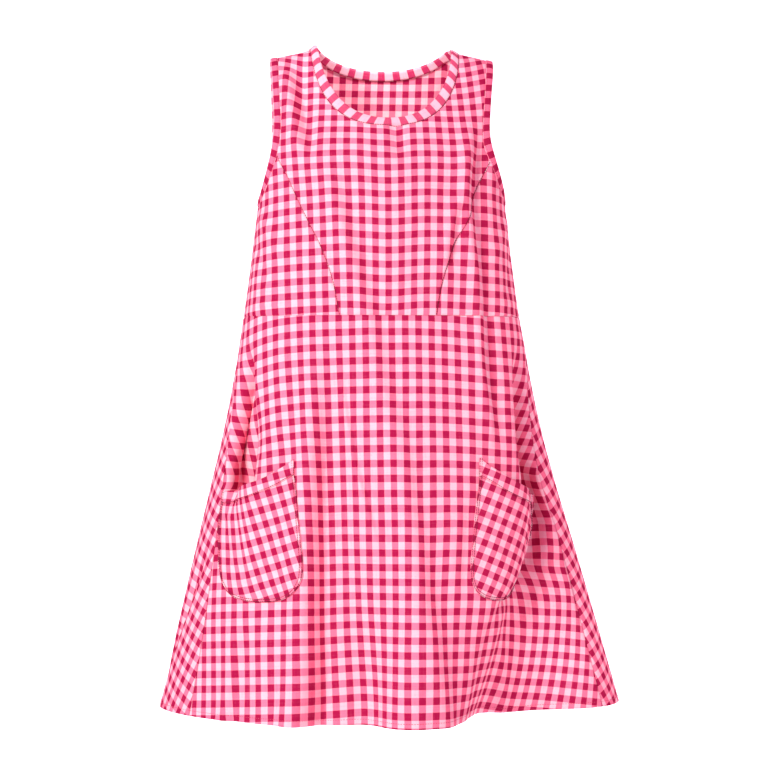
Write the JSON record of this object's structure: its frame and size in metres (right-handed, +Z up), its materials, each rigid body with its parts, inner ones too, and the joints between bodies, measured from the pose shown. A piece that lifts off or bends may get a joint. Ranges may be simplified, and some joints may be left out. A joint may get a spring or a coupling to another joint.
{
  "type": "a-line dress",
  "caption": "Sleeveless A-line dress with a bound round neck, princess seams, a waist seam, a flared skirt and slanted patch pockets.",
  "frame": {"origin": "midway between the two neck points of the shoulders, level with them, where the shoulders carry the dress", "axes": "+Z up along the dress, the front faces -Y, the wearer's left is +X"},
  "size_m": [0.676, 0.4049, 0.9557],
  "materials": {
    "gingham": "matte woven cotton gingham in pale pink, mid pink and raspberry, about 10 mm checks",
    "gingham_trim": "the same matte cotton gingham cut in narrow strips, edge stitched"
  },
  "bodies": {
    "root": {"front_bodice_centre": "gingham", "front_bodice_side_left": "gingham", "front_bodice_side_right": "gingham", "back_bodice": "gingham", "front_skirt": "gingham", "back_skirt": "gingham", "neck_binding_front": "gingham_trim", "neck_binding_back": "gingham_trim", "armhole_band_left": "gingham_trim", "armhole_band_right": "gingham_trim", "pocket_left": "gingham", "pocket_right": "gingham", "pocket_band_left": "gingham_trim", "pocket_band_right": "gingham_trim"}
  },
  "joints": []
}
